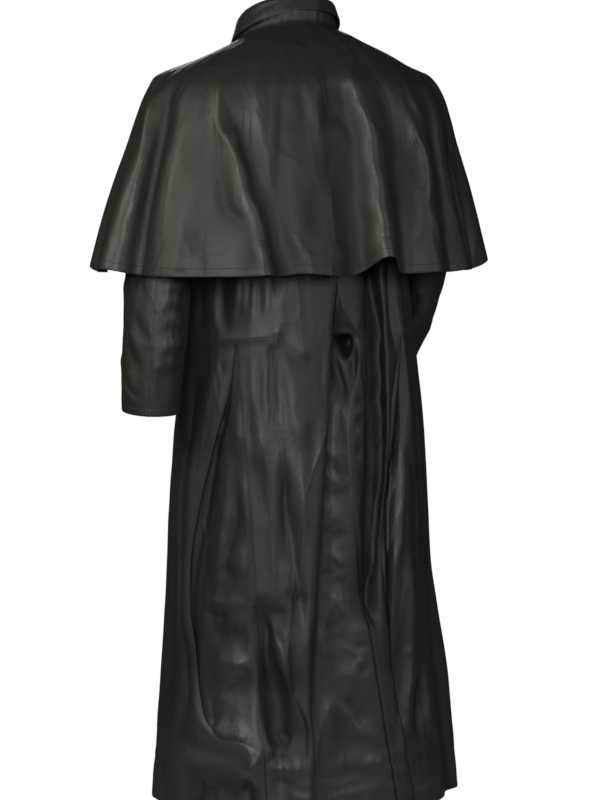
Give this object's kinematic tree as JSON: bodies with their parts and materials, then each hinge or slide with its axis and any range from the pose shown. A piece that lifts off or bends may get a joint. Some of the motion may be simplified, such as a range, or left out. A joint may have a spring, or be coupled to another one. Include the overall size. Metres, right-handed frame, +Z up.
{
  "type": "leather coat with a shoulder cape",
  "caption": "Long hollow leather coat in its worn form, with a turn-down collar, a fluted shoulder cape, set-in sleeves and a full skirt with deep pleats and a back vent.",
  "frame": {"origin": "midway between the shoulders at the height of the back neck seam, where the wearer holds the coat up", "axes": "+Z up, the coat faces -Y, +X is the wearer's left"},
  "size_m": [0.7136, 0.4417, 1.3627],
  "materials": {
    "leather": "satin black leather, slightly green-grey where it is lit"
  },
  "bodies": {
    "root": {"collar_stand": "leather", "collar_fall": "leather", "cape_back": "leather", "cape_front_left": "leather", "cape_front_right": "leather", "back_left": "leather", "back_right": "leather", "vent_underlay": "leather", "side_back_left": "leather", "side_back_right": "leather", "side_skirt_left": "leather", "side_skirt_right": "leather", "pleat_underlay_left": "leather", "pleat_underlay_right": "leather", "front_left": "leather", "front_right": "leather", "top_sleeve_left": "leather", "top_sleeve_right": "leather", "under_sleeve_left": "leather", "under_sleeve_right": "leather"}
  },
  "joints": []
}
